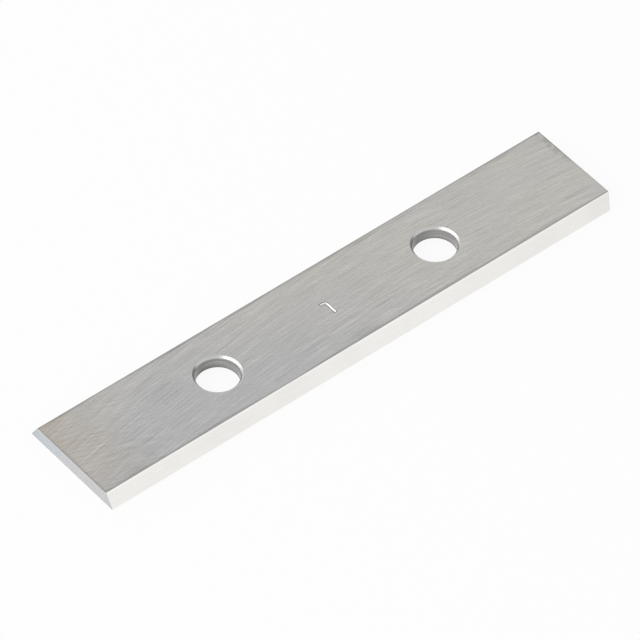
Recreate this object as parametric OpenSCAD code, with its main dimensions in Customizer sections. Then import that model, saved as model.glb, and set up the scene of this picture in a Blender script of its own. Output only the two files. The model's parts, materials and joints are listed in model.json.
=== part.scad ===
// Insert knife for a planer head: one flat strip of hard metal, ground to a cutting edge
// along both long sides and held on the head by two holes.
// It lies on its larger face, with both bevels rising from it. Z = 0 is that face, and the
// origin is its centre. X runs along the cutting edges.

/* [Blade] */
// Length of the blade from end to end
blade_l = 60; // [44:0.5:120]
// Width across the two cutting edges, on the larger face
blade_w = 12; // [9:0.1:20]
// Thickness between the two ground faces
blade_t = 1.5; // [1:0.1:2.5]
// Lean of each ground bevel from upright, in degrees
bevel_lean = 32; // [15:1:45]

/* [Holes] */
// Distance between the centres of the two holes
hole_pitch = 26; // [12:0.5:36]
// Diameter of the holes
hole_d = 4.2; // [3:0.1:5.5]
// Width of the countersunk rim at the upper end of each hole, from the wall outwards
rim_width = 0.25; // [0.1:0.05:0.6]
// Depth of the countersunk rim below the upper face
rim_depth = 0.3; // [0.1:0.05:0.6]

/* [Worn corner] */
// Length of cutting edge that is missing at the blunted corner
corner_loss = 0.6; // [0.2:0.1:1.5]

/* [Hidden] */
// How far a bevel runs in from its cutting edge by the time it reaches the smaller face
bevel_run = blade_t * tan(bevel_lean);
// Width of the smaller, upper face
upper_w = blade_w - 2 * bevel_run;
// How far the blunted corner runs along the blade for each unit across it
corner_slope = corner_loss / bevel_run;
// How far the countersunk rim widens for each unit that it rises
rim_slope = rim_width / rim_depth;
// How far each cut reaches past the surfaces that it opens
past = 1;
round_steps = 96;

// The cross-section: a trapezium with a cutting edge at each lower corner
module blade_section()
    polygon([
        [-blade_w / 2, 0],
        [blade_w / 2, 0],
        [upper_w / 2, blade_t],
        [-upper_w / 2, blade_t]
    ]);

// The strip, square at both ends
module ground_strip()
    rotate([90, 0, 90])
        linear_extrude(blade_l, center = true)
            blade_section();

// One hole, turned about its own axis: a straight wall under a countersunk rim
module countersunk_hole()
    rotate_extrude($fn = round_steps)
        polygon([
            [0, -past],
            [hole_d / 2, -past],
            [hole_d / 2, blade_t - rim_depth],
            [hole_d / 2 + rim_width + rim_slope * past, blade_t + past],
            [0, blade_t + past]
        ]);

// The blunted corner: an upright cut from the upper face's corner to the cutting edge
module corner_cut()
    translate([blade_l / 2, -upper_w / 2, -past])
        linear_extrude(blade_t + 2 * past)
            polygon([
                [corner_slope * past, past],
                [-corner_slope * (bevel_run + past), -bevel_run - past],
                [corner_slope * past + past, -bevel_run - past],
                [corner_slope * past + past, past]
            ]);

module blade()
    color("silver")
        difference() {
            ground_strip();
            for (side = [-1, 1])
                translate([side * hole_pitch / 2, 0, 0])
                    countersunk_hole();
            corner_cut();
        }

blade();
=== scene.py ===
import json
import math

import bmesh
import bpy
from mathutils import Matrix, Vector


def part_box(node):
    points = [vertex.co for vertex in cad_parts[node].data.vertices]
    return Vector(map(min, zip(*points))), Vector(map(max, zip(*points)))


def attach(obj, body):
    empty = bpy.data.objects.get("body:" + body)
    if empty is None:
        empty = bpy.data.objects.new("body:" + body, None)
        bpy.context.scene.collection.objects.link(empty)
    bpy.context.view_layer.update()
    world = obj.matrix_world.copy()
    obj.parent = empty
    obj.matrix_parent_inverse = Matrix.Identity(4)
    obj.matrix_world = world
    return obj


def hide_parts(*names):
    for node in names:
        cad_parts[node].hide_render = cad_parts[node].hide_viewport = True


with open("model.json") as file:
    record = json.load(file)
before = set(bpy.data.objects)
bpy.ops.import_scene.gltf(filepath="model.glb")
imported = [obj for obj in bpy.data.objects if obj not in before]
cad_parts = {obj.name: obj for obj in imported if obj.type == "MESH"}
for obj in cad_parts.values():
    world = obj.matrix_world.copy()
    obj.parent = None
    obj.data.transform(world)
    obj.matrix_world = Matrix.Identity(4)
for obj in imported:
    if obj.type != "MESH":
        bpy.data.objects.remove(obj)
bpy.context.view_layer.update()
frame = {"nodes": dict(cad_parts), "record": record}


# Strip. The knife is one flat strip of fine-grained hard metal, pressed and sintered. Both of
# its broad faces are ground flat by the rim of a cup wheel, which leaves long shallow arcs.
# Its mesh is cut in millimetres and ends up in metres.
MM = 0.001
low, high = (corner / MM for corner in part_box("blade"))
THICKNESS = high.z
HALF_LENGTH = high.x
HALF_WIDTH = high.y
WHEEL_RADIUS = 170
UPPER_WHEEL = (7, -WHEEL_RADIUS, 0)
CROSSING_WHEEL = (-85, -WHEEL_RADIUS, 0)
LOWER_WHEEL = (-16, WHEEL_RADIUS, 0)
STEEL_GREY = (0.590, 0.590, 0.591, 1)
STEEL_WARM = (0.651, 0.631, 0.597, 1)
STRAW_TINT = (0.645, 0.572, 0.500, 1)


def add_node(tree, kind, values=(), **settings):
    """A new node with its settings made, and its inputs, by name or place, set or linked."""
    node = tree.nodes.new(kind)
    for setting, value in settings.items():
        setattr(node, setting, value)
    for place, value in dict(values).items():
        if isinstance(value, bpy.types.NodeSocket):
            tree.links.new(value, node.inputs[place])
        else:
            node.inputs[place].default_value = value
    return node


def reckon(tree, operation, *operands):
    """The result of one Math node."""
    return add_node(tree, "ShaderNodeMath", enumerate(operands), operation=operation).outputs[0]


def ramp(tree, value, start, end, low_value=0.0, high_value=1.0, smooth=True):
    """A value brought from start..end to low_value..high_value, and held there beyond it."""
    kind = "SMOOTHSTEP" if smooth else "LINEAR"
    values = {"Value": value, "From Min": start, "From Max": end, "To Min": low_value, "To Max": high_value}
    return add_node(tree, "ShaderNodeMapRange", values, interpolation_type=kind).outputs["Result"]


def blend_colours(tree, share, first, second, blend_type="MIX"):
    """Two colours mixed by a share."""
    mix = add_node(tree, "ShaderNodeMix", {"Factor": share}, data_type="RGBA", blend_type=blend_type)
    for place, colour in ((6, first), (7, second)):
        if isinstance(colour, bpy.types.NodeSocket):
            tree.links.new(colour, mix.inputs[place])
        else:
            mix.inputs[place].default_value = colour
    return mix.outputs[2]


def new_group(name, inputs, outputs):
    """An empty shader group with its named sockets, and its input and output nodes."""
    group = bpy.data.node_groups.new(name, "ShaderNodeTree")
    for socket_name, kind, default in inputs:
        socket = group.interface.new_socket(socket_name, in_out="INPUT", socket_type="NodeSocket" + kind)
        if default is not None:
            socket.default_value = default
    for socket_name, kind in outputs:
        group.interface.new_socket(socket_name, in_out="OUTPUT", socket_type="NodeSocket" + kind)
    return group, group.nodes.new("NodeGroupInput").outputs, group.nodes.new("NodeGroupOutput")


def place_group(tree, group, **values):
    """A group placed in a material, with its inputs set or linked."""
    spaced = {name.replace("_", " ").capitalize(): value for name, value in values.items()}
    node = tree.nodes.new("ShaderNodeGroup")
    node.node_tree = group
    for name, value in spaced.items():
        if isinstance(value, bpy.types.NodeSocket):
            tree.links.new(value, node.inputs[name])
        else:
            node.inputs[name].default_value = value
    return node.outputs


def grinding_marks_group():
    """Fine lines on arcs about the centre of a grinding wheel, as a height and a tone."""
    group, given, result = new_group(
        "grinding_marks",
        [
            ("Vector", "Vector", None),
            ("Wheel centre", "Vector", (0, 0, 0)),
            ("Line spacing", "Float", 0.1),
            ("Line length", "Float", 5.0),
            ("Contrast", "Float", 0.1),
        ],
        [("Height", "Float"), ("Tone", "Float")],
    )
    in_mm = add_node(group, "ShaderNodeVectorMath", {0: given["Vector"], 3: 1 / MM}, operation="SCALE")
    offset = add_node(
        group, "ShaderNodeVectorMath", {0: in_mm.outputs[0], 1: given["Wheel centre"]}, operation="SUBTRACT"
    )
    across = add_node(group, "ShaderNodeSeparateXYZ", {0: offset.outputs[0]}).outputs
    radius = reckon(group, "SQRT", reckon(
        group, "ADD", reckon(group, "MULTIPLY", across[0], across[0]), reckon(group, "MULTIPLY", across[1], across[1])
    ))
    turn = reckon(group, "ARCTAN2", across[0], reckon(group, "ABSOLUTE", across[1]))
    along = reckon(group, "DIVIDE", reckon(group, "MULTIPLY", turn, WHEEL_RADIUS), given["Line length"])
    heights = []
    for coarser, seed in ((1.0, 0.0), (2.1, 40.0)):
        spacing = reckon(group, "MULTIPLY", given["Line spacing"], coarser)
        place = add_node(
            group,
            "ShaderNodeCombineXYZ",
            {0: reckon(group, "ADD", along, seed), 1: reckon(group, "DIVIDE", radius, spacing)},
        )
        values = {"Vector": place.outputs[0], "Scale": 1.0, "Detail": 1.0, "Roughness": 0.5}
        noise = add_node(group, "ShaderNodeTexNoise", values, noise_dimensions="2D")
        heights.append(noise.outputs[0])
    both = reckon(group, "MULTIPLY_ADD", reckon(group, "SUBTRACT", heights[1], heights[0]), 0.20, heights[0])
    group.links.new(both, result.inputs["Height"])
    swing = reckon(group, "MULTIPLY", reckon(group, "SUBTRACT", both, 0.5), given["Contrast"])
    group.links.new(reckon(group, "ADD", 1.0, reckon(group, "MULTIPLY", swing, 6.0)), result.inputs["Tone"])
    return group


def face_border_group():
    """How near a point lies to the outline of a ground face, from 0 to 1, and less at the ends."""
    group, given, result = new_group(
        "face_border",
        [("Vector", "Vector", None), ("Half width", "Float", 5.0), ("Line width", "Float", 0.1)],
        [("Mask", "Float")],
    )
    in_mm = add_node(group, "ShaderNodeVectorMath", {0: given["Vector"], 3: 1 / MM}, operation="SCALE")
    x, y, _ = add_node(group, "ShaderNodeSeparateXYZ", {0: in_mm.outputs[0]}).outputs
    to_end = reckon(group, "SUBTRACT", HALF_LENGTH, reckon(group, "ABSOLUTE", x))
    to_side = reckon(group, "SUBTRACT", given["Half width"], reckon(group, "ABSOLUTE", y))
    masks = []
    far_right = ramp(group, y, -1.0, 1.5, 0.2, 0.9)
    end_strength = ramp(group, x, -1.0, 1.0, 0.7, far_right, smooth=False)
    for distance, strength in ((to_side, 1.0), (to_end, end_strength)):
        share = reckon(group, "DIVIDE", distance, given["Line width"])
        masks.append(ramp(group, share, 0.2, 1.0, strength, 0.0))
    group.links.new(reckon(group, "MAXIMUM", *masks), result.inputs["Mask"])
    return group


def fine_grain_group():
    """The even, very fine mottling of sintered metal, as a tone about 1."""
    group, given, result = new_group(
        "fine_grain",
        [("Vector", "Vector", None), ("Grain size", "Float", 0.05), ("Contrast", "Float", 0.05)],
        [("Tone", "Float")],
    )
    scale = reckon(group, "DIVIDE", 1 / MM, given["Grain size"])
    values = {"Vector": given["Vector"], "Scale": scale, "Detail": 3.0, "Roughness": 0.6}
    noise = add_node(group, "ShaderNodeTexNoise", values, noise_dimensions="3D")
    swing = reckon(group, "MULTIPLY", reckon(group, "SUBTRACT", noise.outputs[0], 0.5), given["Contrast"])
    group.links.new(reckon(group, "ADD", 1.0, reckon(group, "MULTIPLY", swing, 6.0)), result.inputs["Tone"])
    return group


def metal(name, roughness):
    """A bare metal material, its tree and its shader."""
    material = bpy.data.materials.new(name)
    material.use_nodes = True
    shader = material.node_tree.nodes["Principled BSDF"]
    shader.inputs["Metallic"].default_value = 1.0
    shader.inputs["Roughness"].default_value = roughness
    return material, material.node_tree, shader


def tinted(tree, colour, *tones):
    """A colour multiplied by tones that vary over the surface."""
    for tone in tones:
        grey = add_node(tree, "ShaderNodeCombineColor", {0: tone, 1: tone, 2: tone}).outputs[0]
        colour = blend_colours(tree, 1.0, colour, grey, "MULTIPLY")
    return colour


def relief(tree, shader, height, depth, strength):
    """Bump of a height on a shader, with its depth in millimetres."""
    bump = add_node(tree, "ShaderNodeBump", {"Height": height, "Distance": depth * MM, "Strength": strength})
    tree.links.new(bump.outputs[0], shader.inputs["Normal"])


grinding_marks = grinding_marks_group()
face_border = face_border_group()
fine_grain = fine_grain_group()


def mottle(tree, place, scale, low_value, high_value):
    """Soft patches, in a range of values."""
    values = {"Vector": place, "Scale": scale, "Detail": 2.0}
    noise = add_node(tree, "ShaderNodeTexNoise", values).outputs[0]
    return ramp(tree, noise, 0.35, 0.65, low_value, high_value)


def ground_face(name, wheels, half_width):
    """The finish of a broad face: crossing arcs in patches, a tint that drifts, a dark border."""
    material, tree, shader = metal(name, 0.30)
    place = add_node(tree, "ShaderNodeTexCoord").outputs["Object"]
    x, y, _ = add_node(tree, "ShaderNodeSeparateXYZ", {0: place}).outputs
    at_left_end = ramp(tree, x, -0.018, -0.026)
    calmer = ramp(tree, x, 0.002, 0.022, 1.0, 0.80)
    patches = reckon(tree, "MULTIPLY", mottle(tree, place, 110.0, 0.70, 1.10), calmer)
    marks = []
    for wheel, spacing, length, middle, left_end in (
        (wheels[0], 0.120, 4.6, 0.104, 0.072),
        (wheels[1], 0.115, 2.2, 0.026, 0.088),
    ):
        strength = ramp(tree, at_left_end, 0.0, 1.0, middle, left_end, smooth=False)
        marks.append(place_group(
            tree, grinding_marks, vector=place, wheel_centre=wheel, line_spacing=spacing, line_length=length,
            contrast=reckon(tree, "MULTIPLY", strength, patches),
        ))
    grain = place_group(tree, fine_grain, vector=place, grain_size=0.20, contrast=0.042)
    height = reckon(tree, "ADD", marks[0]["Height"], reckon(tree, "MULTIPLY", marks[1]["Height"], at_left_end))
    warm_right = ramp(tree, reckon(tree, "ADD", x, reckon(tree, "MULTIPLY", y, 2.2)), -0.019, 0.015)
    to_far_left = reckon(tree, "SUBTRACT", reckon(tree, "MULTIPLY", y, 1.2), x)
    warm_left = ramp(tree, to_far_left, 0.0215, 0.0275, 0.0, 0.85)
    warm = reckon(tree, "MAXIMUM", warm_right, warm_left)
    warmth = reckon(tree, "MULTIPLY", warm, mottle(tree, place, 130.0, 0.7, 1.1))
    colour = blend_colours(tree, warmth, STEEL_GREY, STEEL_WARM)
    to_corner = reckon(tree, "ADD", reckon(tree, "MULTIPLY", x, -1.0), reckon(tree, "MULTIPLY", y, 0.6))
    at_corner = ramp(tree, to_corner, 0.0280, 0.0325)
    at_edge = ramp(tree, x, -0.0220, -0.0300, 0.0, 0.40)
    heat = reckon(tree, "MAXIMUM", at_corner, at_edge)
    heated = reckon(tree, "MULTIPLY", heat, mottle(tree, place, 380.0, 0.6, 1.0))
    colour = blend_colours(tree, heated, colour, STRAW_TINT)
    border_width = mottle(tree, place, 130.0, 0.20, 0.42)
    border = place_group(tree, face_border, vector=place, half_width=half_width, line_width=border_width)
    darker = ramp(tree, border["Mask"], 0.0, 1.0, 1.0, 0.72, smooth=False)
    line_place = (half_width - 0.42) * MM
    from_line = reckon(tree, "ABSOLUTE", reckon(tree, "SUBTRACT", y, line_place))
    along_line = reckon(tree, "MULTIPLY", ramp(tree, x, 0.002, 0.008), ramp(tree, x, 0.029, 0.024))
    line_depth = reckon(tree, "MULTIPLY", along_line, mottle(tree, place, 260.0, 0.08, 0.24))
    second_line = ramp(tree, from_line, 0.00004, 0.00013, reckon(tree, "SUBTRACT", 1.0, line_depth), 1.0)
    dull_end = ramp(tree, x, -0.0200, -0.0270, 1.0, 0.952)
    at_right_end = reckon(tree, "MULTIPLY", ramp(tree, x, 0.0289, 0.0298), ramp(tree, y, -0.0010, 0.0015))
    scuffs = ramp(tree, at_right_end, 0.0, 1.0, 1.0, mottle(tree, place, 2200.0, 1.0, 0.80))
    tones = marks[0]["Tone"], marks[1]["Tone"], grain["Tone"], darker, second_line, dull_end, scuffs
    tree.links.new(tinted(tree, colour, *tones), shader.inputs["Base Color"])
    tree.links.new(ramp(tree, marks[0]["Height"], 0.3, 0.7, 0.26, 0.34), shader.inputs["Roughness"])
    relief(tree, shader, height, 0.004, 0.4)
    return material


CLOSE = 0.001
solid_points = [vertex.co / MM for vertex in frame["nodes"]["blade"].data.vertices]
UPPER_HALF_WIDTH = max(point.y for point in solid_points if point.z > THICKNESS - CLOSE)

body = bmesh.new()
bmesh.ops.create_cube(body, size=1)
bmesh.ops.scale(body, vec=high - low, verts=body.verts)
bmesh.ops.translate(body, vec=(high + low) / 2, verts=body.verts)
finishes = [
    ground_face("upper_face", (UPPER_WHEEL, CROSSING_WHEEL), UPPER_HALF_WIDTH),
    ground_face("under_face", (LOWER_WHEEL, CROSSING_WHEEL), HALF_WIDTH),
]
UPPER, UNDER, END, BEVEL, EDGE = range(5)
for face in body.faces:
    face.material_index = END if abs(face.normal.z) < 0.5 else UPPER if face.normal.z > 0 else UNDER


# Ends. Both ends are square and left as they were pressed and trimmed: a pale, slightly rough
# grey with a cold cast at one corner. The front edge is blunted where it meets the right end.
END_GREY = (0.655, 0.655, 0.657, 1)
END_BLUE = (0.625, 0.655, 0.688, 1)
CORNER_LOSS = HALF_LENGTH - max(point.x for point in solid_points if point.y < CLOSE - HALF_WIDTH)


def painted_edge_highlight(tree, z, brighter):
    """A painted highlight: a tone that brightens a surface in a thin band just under the upper face."""
    return ramp(tree, z, (THICKNESS - 0.28) * MM, (THICKNESS - 0.08) * MM, 1.0, brighter)


def end_finish():
    """Fine even grain, colder towards the far corner, with a painted highlight along its upper edge."""
    material, tree, shader = metal("end_face", 0.42)
    place = add_node(tree, "ShaderNodeTexCoord").outputs["Object"]
    _, y, z = add_node(tree, "ShaderNodeSeparateXYZ", {0: place}).outputs
    colour = blend_colours(tree, ramp(tree, y, -0.001, 0.0045), END_GREY, END_BLUE)
    grain = place_group(tree, fine_grain, vector=place, grain_size=0.12, contrast=0.04)
    far_tip = ramp(tree, reckon(tree, "SUBTRACT", y, reckon(tree, "MULTIPLY", z, 0.7)), 0.0032, 0.0055, 1.0, 0.94)
    # The band under the upper edge is a painted highlight.
    tones = grain["Tone"], painted_edge_highlight(tree, z, 1.08), far_tip
    tree.links.new(tinted(tree, colour, *tones), shader.inputs["Base Color"])
    relief(tree, shader, grain["Tone"], 0.004, 0.5)
    return material


def cut_flat(mesh, point, normal, finish):
    """Cuts away what lies past a plane, and closes the cut with one face of that finish."""
    everything = mesh.verts[:] + mesh.edges[:] + mesh.faces[:]
    cut = bmesh.ops.bisect_plane(
        mesh, geom=everything, dist=CLOSE / 10, plane_co=point, plane_no=normal, clear_outer=True
    )
    loop = [part for part in cut["geom_cut"] if isinstance(part, bmesh.types.BMEdge)]
    bmesh.ops.edgeloop_fill(mesh, edges=loop, mat_nr=finish)
    bmesh.ops.recalc_face_normals(mesh, faces=mesh.faces)


finishes.append(end_finish())


# Bevels. Each long side is ground back at one angle to a cutting edge on the larger face, and
# honed with a much finer wheel than the faces, so it is nearly a mirror.
BEVEL_WHITE = (0.905, 0.892, 0.865, 1)
BEVEL_RUN = HALF_WIDTH - UPPER_HALF_WIDTH


def bevel_finish(name, colour, roughness, brighter):
    """A honed surface, with the faintest lines along the edge and, where asked, a painted highlight just under the
    upper face.
    """
    material, tree, shader = metal(name, roughness)
    place = add_node(tree, "ShaderNodeTexCoord").outputs["Object"]
    x, _, z = add_node(tree, "ShaderNodeSeparateXYZ", {0: place}).outputs
    stretched = add_node(tree, "ShaderNodeMapping", {"Vector": place, "Scale": (400, 12000, 12000)}).outputs[0]
    values = {"Vector": stretched, "Scale": 1.0, "Detail": 2.0}
    lines = add_node(tree, "ShaderNodeTexNoise", values).outputs[0]
    patches = place_group(tree, fine_grain, vector=place, grain_size=6.0, contrast=0.02)
    hone = ramp(tree, lines, 0.3, 0.7, 0.98, 1.02, smooth=False)
    duller = ramp(tree, x, 0.004, 0.022, 1.0, 0.975)
    dull_end = ramp(tree, x, 0.0262, 0.0282, 1.0, 0.96)
    # The last tone is a painted highlight under the upper face.
    tones = patches["Tone"], hone, duller, dull_end, painted_edge_highlight(tree, z, brighter)
    tree.links.new(tinted(tree, colour, *tones), shader.inputs["Base Color"])
    relief(tree, shader, lines, 0.0005, 0.4)
    return material


finishes.append(bevel_finish("honed_bevel", BEVEL_WHITE, 0.22, 1.06))
for side in (-1, 1):
    slope = Vector((0, side * THICKNESS, BEVEL_RUN)).normalized()
    cut_flat(body, (0, side * HALF_WIDTH, 0), slope, BEVEL)
across_corner = Vector((BEVEL_RUN, -CORNER_LOSS, 0)).normalized()
cut_flat(body, (HALF_LENGTH, -UPPER_HALF_WIDTH, 0), across_corner, END)


# Broken edges. Every edge but the two that cut is taken off by a few hundredths of a
# millimetre, so that the knife can be handled; the small rounds show as a thin grey line.
EDGE_BREAK = 0.03
EDGE_STEPS = 2
EDGE_GREY = (0.520, 0.515, 0.505, 1)
finishes.append(bevel_finish("broken_edge", EDGE_GREY, 0.25, 1.0))


def cuts(edge):
    """Whether an edge is one of the two cutting edges."""
    return all(abs(v.co.z) < CLOSE and HALF_WIDTH - abs(v.co.y) < CLOSE for v in edge.verts)


bmesh.ops.bevel(
    body,
    geom=[edge for edge in body.edges if not cuts(edge)],
    offset=EDGE_BREAK,
    offset_type="OFFSET",
    segments=EDGE_STEPS,
    profile=0.5,
    affect="EDGES",
    material=EDGE,
)
strip_mesh = bpy.data.meshes.new("strip")
body.to_mesh(strip_mesh)
body.free()
for finish in finishes:
    strip_mesh.materials.append(finish)
strip = bpy.data.objects.new("strip", strip_mesh)
bpy.context.scene.collection.objects.link(strip)


# Holes. Two holes for the pins of the cutter head, on one pitch. Each has a straight wall that
# shows the rings of the tool, and a bright countersunk rim at its upper end only.
HOLES = {mount["name"]: mount["dims"] for mount in frame["record"]["mounts"]}
HOLE_PITCH = HOLES["hole_pair"]["spacing_x_mm"]
HOLE_RADIUS = HOLES["hole_pair"]["hole_r_mm"]
RIM_DEPTH = THICKNESS - HOLES["hole_left"]["length_mm"]
INNER_ROUND = 0.05
OUTER_ROUND = 0.06
BORE_DARK = (0.342, 0.338, 0.332, 1)
RIM_BRIGHT = (0.640, 0.636, 0.630, 1)
HOLE_SIDES = 160
OVERRUN = 1.0


def from_hole(point):
    """How far a point lies from the axis of the nearer hole."""
    return math.hypot(abs(point.x) - HOLE_PITCH / 2, point.y)


upper_points = (point for point in solid_points if point.z > THICKNESS - CLOSE)
RIM_RADIUS = max(from_hole(point) for point in upper_points if from_hole(point) < 2 * HOLE_RADIUS)


def turned_finish(name, roughness, tone, spacing, contrast, foot, side_light_gain):
    """Rings round the axis of a hole, painted shade in a band at its foot, and painted light that makes one side of
    the hole brighter and the other darker.
    """
    material, tree, shader = metal(name, roughness)
    place = add_node(tree, "ShaderNodeTexCoord").outputs["Object"]
    x, y, z = add_node(tree, "ShaderNodeSeparateXYZ", {0: place}).outputs
    stretched = add_node(
        tree, "ShaderNodeMapping", {"Vector": place, "Scale": (250, 250, 1 / MM / spacing)}
    ).outputs[0]
    rings = add_node(tree, "ShaderNodeTexNoise", {"Vector": stretched, "Scale": 1.0, "Detail": 2.0}).outputs[0]
    depth = ramp(tree, rings, 0.3, 0.7, 1 - contrast, 1 + contrast, smooth=False)
    # Painted shade: a darker band at the foot of the wall, as if the floor beneath lay in shadow.
    shade_at_foot = ramp(tree, z, 0.04 * MM, 0.22 * MM, foot, 1.0)
    # Painted light: by position round the axis, one side of the hole is made brighter and the opposite side darker.
    half_pitch = HOLE_PITCH / 2 * MM
    from_axis = reckon(tree, "WRAP", reckon(tree, "ADD", x, half_pitch), half_pitch, -half_pitch)
    to_lit_side = reckon(tree, "SUBTRACT", from_axis, reckon(tree, "MULTIPLY", y, 0.45))
    painted_side_light = ramp(tree, to_lit_side, -HOLE_RADIUS * MM, HOLE_RADIUS * MM, 2 - side_light_gain, side_light_gain)
    tree.links.new(tinted(tree, tone, depth, shade_at_foot, painted_side_light), shader.inputs["Base Color"])
    relief(tree, shader, rings, 0.003, 0.5)
    return material


def drilling_tree():
    """Drills a row of countersunk holes: the drill is a cylinder whose rings are moved to its profile."""
    tree = bpy.data.node_groups.new("drill_holes", "GeometryNodeTree")
    sizes = (
        "Hole pitch", "Hole radius", "Rim radius", "Rim depth", "Inner round", "Outer round", "Edge break",
        "Thickness", "Overrun",
    )
    tree.interface.new_socket("Strip", in_out="INPUT", socket_type="NodeSocketGeometry")
    for name in sizes:
        tree.interface.new_socket(name, in_out="INPUT", socket_type="NodeSocketFloat")
    for name in ("Holes", "Sides"):
        tree.interface.new_socket(name, in_out="INPUT", socket_type="NodeSocketInt")
    for name in ("Wall finish", "Rim finish", "Edge finish"):
        tree.interface.new_socket(name, in_out="INPUT", socket_type="NodeSocketMaterial")
    tree.interface.new_socket("Knife", in_out="OUTPUT", socket_type="NodeSocketGeometry")
    given = tree.nodes.new("NodeGroupInput").outputs
    result = tree.nodes.new("NodeGroupOutput")

    def between(first, second, share):
        return reckon(tree, "MULTIPLY_ADD", reckon(tree, "SUBTRACT", second, first), share, first)

    bore, top = given["Hole radius"], given["Thickness"]
    foot = reckon(tree, "SUBTRACT", top, given["Rim depth"])
    inner = reckon(tree, "DIVIDE", given["Inner round"], given["Rim depth"])
    straight = reckon(tree, "ADD", inner, 0.1)
    outer = reckon(tree, "SUBTRACT", 1.0, reckon(tree, "DIVIDE", given["Outer round"], given["Rim depth"]))
    lip = reckon(tree, "ADD", bore, given["Edge break"])
    brim = reckon(tree, "ADD", given["Rim radius"], given["Outer round"])
    below_brim = between(bore, given["Rim radius"], outer), between(foot, top, outer)
    turn = [
        between(between(low_end, corner, 0.5), between(corner, high_end, 0.5), 0.5)
        for low_end, corner, high_end in zip(below_brim, (given["Rim radius"], top), (brim, top))
    ]
    profile = [
        (lip, reckon(tree, "MULTIPLY", given["Overrun"], -1.0)),
        (lip, 0.0),
        (bore, given["Edge break"]),
        (bore, reckon(tree, "SUBTRACT", foot, given["Inner round"])),
        (between(bore, given["Rim radius"], inner), between(foot, top, inner)),
        (between(bore, given["Rim radius"], straight), between(foot, top, straight)),
        below_brim,
        turn,
        (brim, top),
        (brim, reckon(tree, "ADD", top, given["Overrun"])),
    ]
    spans = len(profile) - 1
    drill = add_node(
        tree,
        "GeometryNodeMeshCylinder",
        {"Vertices": given["Sides"], "Side Segments": spans, "Radius": 1.0, "Depth": float(spans)},
        fill_type="NGON",
    )
    height = add_node(
        tree, "ShaderNodeSeparateXYZ", {0: add_node(tree, "GeometryNodeInputPosition").outputs[0]}
    ).outputs[2]
    from_foot = reckon(tree, "ADD", height, spans / 2)
    named = add_node(
        tree,
        "GeometryNodeStoreNamedAttribute",
        {"Geometry": drill.outputs["Mesh"], "Name": "span", "Value": reckon(tree, "FLOOR", from_foot)},
        data_type="FLOAT",
        domain="FACE",
    )
    places = []
    for part in zip(*profile):
        pick = tree.nodes.new("GeometryNodeIndexSwitch")
        pick.data_type = "FLOAT"
        while len(pick.index_switch_items) < len(profile):
            pick.index_switch_items.new()
        tree.links.new(reckon(tree, "ROUND", from_foot), pick.inputs["Index"])
        for ring, value in enumerate(part):
            socket = pick.inputs[ring + 1]
            if isinstance(value, bpy.types.NodeSocket):
                tree.links.new(value, socket)
            else:
                socket.default_value = value
        places.append(pick.outputs[0])
    flat = add_node(
        tree,
        "ShaderNodeVectorMath",
        {0: add_node(tree, "GeometryNodeInputPosition").outputs[0], 1: (1, 1, 0)},
        operation="MULTIPLY",
    )
    widened = add_node(tree, "ShaderNodeVectorMath", {0: flat.outputs[0], 3: places[0]}, operation="SCALE")
    raised = add_node(tree, "ShaderNodeCombineXYZ", {2: places[1]})
    moved = add_node(
        tree, "ShaderNodeVectorMath", {0: widened.outputs[0], 1: raised.outputs[0]}, operation="ADD"
    )
    shaped = add_node(
        tree, "GeometryNodeSetPosition", {"Geometry": named.outputs[0], "Position": moved.outputs[0]}
    )
    first = reckon(
        tree, "MULTIPLY", given["Hole pitch"],
        reckon(tree, "MULTIPLY", reckon(tree, "SUBTRACT", given["Holes"], 1.0), -0.5),
    )
    row = add_node(
        tree,
        "GeometryNodeMeshLine",
        {
            "Count": given["Holes"],
            "Start Location": add_node(tree, "ShaderNodeCombineXYZ", {0: first}).outputs[0],
            "Offset": add_node(tree, "ShaderNodeCombineXYZ", {0: given["Hole pitch"]}).outputs[0],
        },
        mode="OFFSET",
    )
    drills = add_node(
        tree, "GeometryNodeInstanceOnPoints", {"Points": row.outputs[0], "Instance": shaped.outputs[0]}
    )
    placed = add_node(tree, "GeometryNodeRealizeInstances", {0: drills.outputs[0]})
    drilled = tree.nodes.new("GeometryNodeMeshBoolean")
    drilled.solver = "EXACT"
    tree.links.new(given["Strip"], drilled.inputs["Mesh 1"])
    tree.links.new(placed.outputs[0], drilled.inputs["Mesh 2"])
    real = add_node(tree, "GeometryNodeRealizeInstances", {0: drilled.outputs[0]})
    span = add_node(tree, "GeometryNodeInputNamedAttribute", {"Name": "span"}, data_type="FLOAT")
    geometry = real.outputs[0]
    for spot, kind, finish in (
        (1, "EQUAL", "Edge finish"),
        (2, "EQUAL", "Wall finish"),
        (3, "GREATER_EQUAL", "Rim finish"),
    ):
        here = add_node(
            tree, "FunctionNodeCompare", {0: span.outputs[0], 1: float(spot)}, data_type="FLOAT", operation=kind
        )
        both = add_node(
            tree, "FunctionNodeBooleanMath", {0: span.outputs["Exists"], 1: here.outputs[0]}, operation="AND"
        )
        geometry = add_node(
            tree,
            "GeometryNodeSetMaterial",
            {"Geometry": geometry, "Selection": both.outputs[0], "Material": given[finish]},
        ).outputs[0]
    tree.links.new(geometry, result.inputs[0])
    return tree


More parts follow.
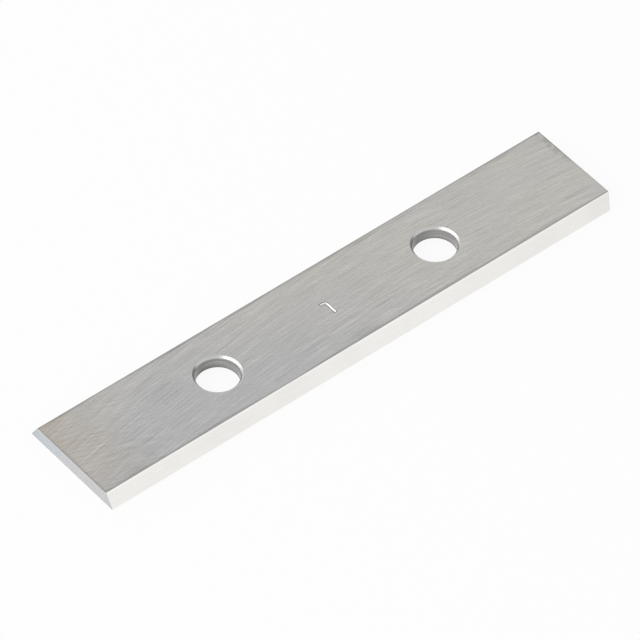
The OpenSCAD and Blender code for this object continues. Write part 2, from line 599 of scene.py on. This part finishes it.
drilling = strip.modifiers.new("drilling", "NODES")
drilling.node_group = drilling_tree()
drill_values = {
    "Hole pitch": HOLE_PITCH,
    "Hole radius": HOLE_RADIUS,
    "Rim radius": RIM_RADIUS,
    "Rim depth": RIM_DEPTH,
    "Inner round": INNER_ROUND,
    "Outer round": OUTER_ROUND,
    "Edge break": EDGE_BREAK,
    "Thickness": THICKNESS,
    "Overrun": OVERRUN,
    "Holes": HOLES["hole_pair"]["count"],
    "Sides": HOLE_SIDES,
    # The wall gets painted shade at its foot and painted light on one side; the rim gets neither.
    "Wall finish": turned_finish("hole_wall", 0.20, BORE_DARK, 0.16, 0.24, 0.35, 1.24),
    "Rim finish": turned_finish("countersunk_rim", 0.32, RIM_BRIGHT, 0.05, 0.04, 1.0, 1.0),
    "Edge finish": finishes[EDGE],
}
for socket in drilling.node_group.interface.items_tree:
    if socket.item_type == "SOCKET" and socket.name in drill_values:
        drilling[socket.identifier] = drill_values[socket.name]


# Edge number. A plain figure 1, engraved beside the middle, tells one cutting edge from the
# other when the knife is turned round. Its strokes are shallow grooves with sloping walls.
# Round each stroke lies a wider, very shallow cut of dark grey: a painted shadow beside the bright groove.
STROKES = (
    ((0.273, 0.54), (0.280, -0.76), 0.06),
    ((0.273, 0.56), (0.05, 0.66), 0.11),
    ((0.05, 0.66), (-0.21, 0.67), 0.10),
)
STROKE_WIDTH = 0.19
STROKE_DEPTH = 0.06
MARGIN_WIDTH = 0.35
MARGIN_FLOOR = 0.33
MARGIN_DEPTH = 0.01
MARK_BRIGHT = (0.950, 0.945, 0.935, 1)
# The dark grey of that margin is painted shadow.
PAINTED_SHADOW_GREY = (0.320, 0.318, 0.312, 1)


def mark_finish(name, tone):
    """Slightly frosted metal."""
    material, tree, shader = metal(name, 0.35)
    place = add_node(tree, "ShaderNodeTexCoord").outputs["Object"]
    grain = place_group(tree, fine_grain, vector=place, grain_size=0.04, contrast=0.04)
    tree.links.new(tinted(tree, tone, grain["Tone"]), shader.inputs["Base Color"])
    return material


def groove_cutter(mesh, start, end, width, floor_width, depth, finish):
    """A closed wedge over a stroke from start to end, with walls that slope to a narrower floor."""
    start, end = Vector((*start, THICKNESS)), Vector((*end, THICKNESS))
    along = (end - start).normalized()
    across = Vector((-along.y, along.x, 0))
    start, end = start - along * width / 2, end + along * width / 2
    slope = (width - floor_width) / 2 / depth
    rings = []
    for z in (-depth, depth):
        half = floor_width / 2 + slope * (z + depth)
        pull = width / 2 - half
        ring = [(start, -half, pull), (end, -half, -pull), (end, half, -pull), (start, half, pull)]
        rings.append([mesh.verts.new(p + across * w + along * q + Vector((0, 0, z))) for p, w, q in ring])
    floor, top = rings
    faces = [mesh.faces.new(reversed(floor)), mesh.faces.new(top)]
    for i in range(4):
        j = (i + 1) % 4
        faces.append(mesh.faces.new((floor[i], floor[j], top[j], top[i])))
    for face in faces:
        face.material_index = finish


cutter = bmesh.new()
for start, end, floor_width in STROKES:
    groove_cutter(cutter, start, end, MARGIN_WIDTH, MARGIN_FLOOR, MARGIN_DEPTH, 0)
    groove_cutter(cutter, start, end, STROKE_WIDTH, floor_width, STROKE_DEPTH, 1)
bmesh.ops.recalc_face_normals(cutter, faces=cutter.faces)
cutter_mesh = bpy.data.meshes.new("figure")
cutter.to_mesh(cutter_mesh)
cutter.free()
# The first finish is the margin's painted shadow, the second the bright engraving.
cutter_mesh.materials.append(mark_finish("painted_shadow_margin", PAINTED_SHADOW_GREY))
cutter_mesh.materials.append(mark_finish("engraving", MARK_BRIGHT))
figure = bpy.data.objects.new("figure", cutter_mesh)
bpy.context.scene.collection.objects.link(figure)
engraving = strip.modifiers.new("engraving", "BOOLEAN")
engraving.solver = "EXACT"
engraving.use_self = True
engraving.material_mode = "TRANSFER"
engraving.object = figure


# Finished knife. The strip with its holes and figure becomes one plain mesh in metres. The flat
# faces stay flat shaded, and the turned and rounded ones are smooth.
SOFT_TURN = math.radians(32)
SMOOTH = {"broken_edge", "hole_wall", "countersunk_rim"}
bpy.context.view_layer.update()
worked_strip = strip.evaluated_get(bpy.context.evaluated_depsgraph_get())
finished = bpy.data.meshes.new_from_object(worked_strip)
strip.modifiers.clear()
for used in (strip, figure):
    bpy.data.objects.remove(used)
shape = bmesh.new()
shape.from_mesh(finished)
bmesh.ops.remove_doubles(shape, verts=shape.verts, dist=CLOSE / 10)
bmesh.ops.dissolve_degenerate(shape, edges=shape.edges, dist=CLOSE / 10)
bmesh.ops.triangulate(shape, faces=[face for face in shape.faces if len(face.verts) > 4])
bmesh.ops.recalc_face_normals(shape, faces=shape.faces)
for face in shape.faces:
    face.smooth = finished.materials[face.material_index].name in SMOOTH
for edge in shape.edges:
    one_finish = len({face.material_index for face in edge.link_faces}) == 1
    edge.smooth = one_finish and edge.calc_face_angle(0) < SOFT_TURN
shape.to_mesh(finished)
shape.free()
finished.transform(Matrix.Scale(MM, 4))
if "span" in finished.attributes:
    finished.attributes.remove(finished.attributes["span"])
finished.name = "knife_body"
knife = bpy.data.objects.new("knife_body", finished)
bpy.context.scene.collection.objects.link(knife)
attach(knife, "root")
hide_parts("blade")


# Table. A plain white board under the knife, wide enough to fill every view. To the eye it is
# mostly plain white, and in reflections less so; the rest takes light and the knife's shadow.
TABLE_REACH = 1.5
TABLE_DROP = 0.00002
TABLE_WHITE = (0.94, 0.94, 0.94, 1)
SEEN_PLAIN = 0.90
MIRRORED_PLAIN = 0.50

board = bmesh.new()
bmesh.ops.create_grid(board, size=TABLE_REACH, matrix=Matrix.Translation((0, 0, -TABLE_DROP)))
board_mesh = bpy.data.meshes.new("table")
board.to_mesh(board_mesh)
board.free()
white = bpy.data.materials.new("white_board")
white.use_nodes = True
tree = white.node_tree
tree.nodes.remove(tree.nodes["Principled BSDF"])
rays = add_node(tree, "ShaderNodeLightPath").outputs
mirrored = reckon(tree, "MAXIMUM", rays["Is Glossy Ray"], rays["Is Transmission Ray"])
plain_share = reckon(tree, "MAXIMUM", reckon(tree, "MULTIPLY", rays["Is Camera Ray"], SEEN_PLAIN), reckon(
    tree, "MULTIPLY", mirrored, MIRRORED_PLAIN
))
lit = add_node(tree, "ShaderNodeBsdfDiffuse", {"Color": TABLE_WHITE})
plain = add_node(tree, "ShaderNodeEmission", {"Color": (1, 1, 1, 1), "Strength": 1.0})
mixed = add_node(
    tree,
    "ShaderNodeMixShader",
    {0: plain_share, 1: lit.outputs[0], 2: plain.outputs[0]},
)
tree.links.new(mixed.outputs[0], tree.nodes["Material Output"].inputs["Surface"])
board_mesh.materials.append(white)
table = bpy.data.objects.new("table", board_mesh)
bpy.context.scene.collection.objects.link(table)


# Light. A pale tent all round, open and dark on the right, with one broad soft lamp behind on
# the left, so that faces, bevels and rims each mirror their own part of it.
TENT_LOW = 1.00
TENT_TOP = 0.66
TENT_OPENING = (0.98, 0.00, 0.05)
OPENING_LIGHT = 0.16

world = bpy.data.worlds.new("tent")
bpy.context.scene.world = world
world.use_nodes = True
tree = world.node_tree
way = add_node(tree, "ShaderNodeTexCoord").outputs["Generated"]
up = add_node(tree, "ShaderNodeSeparateXYZ", {0: way}).outputs[2]
opening = Vector(TENT_OPENING).normalized()
facing = add_node(tree, "ShaderNodeVectorMath", {0: way, 1: opening}, operation="DOT_PRODUCT").outputs["Value"]
cloth = ramp(tree, up, 0.0, 1.0, TENT_LOW, TENT_TOP, smooth=False)
dark = ramp(tree, facing, 0.84, 0.95)
level = ramp(tree, dark, 0.0, 1.0, cloth, OPENING_LIGHT, smooth=False)
tree.links.new(level, tree.nodes["Background"].inputs["Strength"])
tree.nodes["Background"].inputs["Color"].default_value = (1, 1, 1, 1)


def soft_lamp(name, bearing, height, distance, size, brightness):
    """A broad lamp aimed at the knife. Its bearing turns from +X towards +Y, in degrees."""
    light = bpy.data.lights.new(name, "AREA")
    light.shape = "RECTANGLE"
    light.size, light.size_y = size
    light.energy = brightness * math.pi * size[0] * size[1]
    lamp = bpy.data.objects.new(name, light)
    a, e = math.radians(bearing), math.radians(height)
    lamp.location = Vector((math.cos(a) * math.cos(e), math.sin(a) * math.cos(e), math.sin(e))) * distance
    lamp.rotation_mode = "QUATERNION"
    lamp.rotation_quaternion = lamp.location.to_track_quat("Z", "Y")
    bpy.context.scene.collection.objects.link(lamp)


soft_lamp("lamp_behind", 161, 32, 0.60, (1.20, 0.28), 1.65)


# Camera. A long lens from the front left, above the knife.
FRAME_PX = 640
CAMERA_BEARING = math.radians(-39.126)
CAMERA_HEIGHT = math.radians(47.217)
CAMERA_DISTANCE = 650.3
PX_PER_MM = 10.789
SLIDE_RIGHT = -0.676
SLIDE_UP = -1.125
SENSOR = 36.0

back = Vector((
    math.sin(CAMERA_BEARING) * math.cos(CAMERA_HEIGHT),
    -math.cos(CAMERA_BEARING) * math.cos(CAMERA_HEIGHT),
    math.sin(CAMERA_HEIGHT),
))
right = Vector((math.cos(CAMERA_BEARING), math.sin(CAMERA_BEARING), 0))
above = back.cross(right)
lens = bpy.data.cameras.new("camera")
lens.sensor_width = SENSOR
lens.lens = PX_PER_MM * CAMERA_DISTANCE * SENSOR / FRAME_PX
lens.clip_start, lens.clip_end = 0.01, 10
camera = bpy.data.objects.new("camera", lens)
aim = Vector((0, 0, THICKNESS)) + right * SLIDE_RIGHT + above * SLIDE_UP
camera.location = (aim + back * CAMERA_DISTANCE) * MM
camera.rotation_mode = "QUATERNION"
camera.rotation_quaternion = Matrix((right, above, back)).transposed().to_quaternion()
bpy.context.scene.collection.objects.link(camera)
bpy.context.scene.camera = camera
bpy.context.scene.view_settings.view_transform = "Standard"
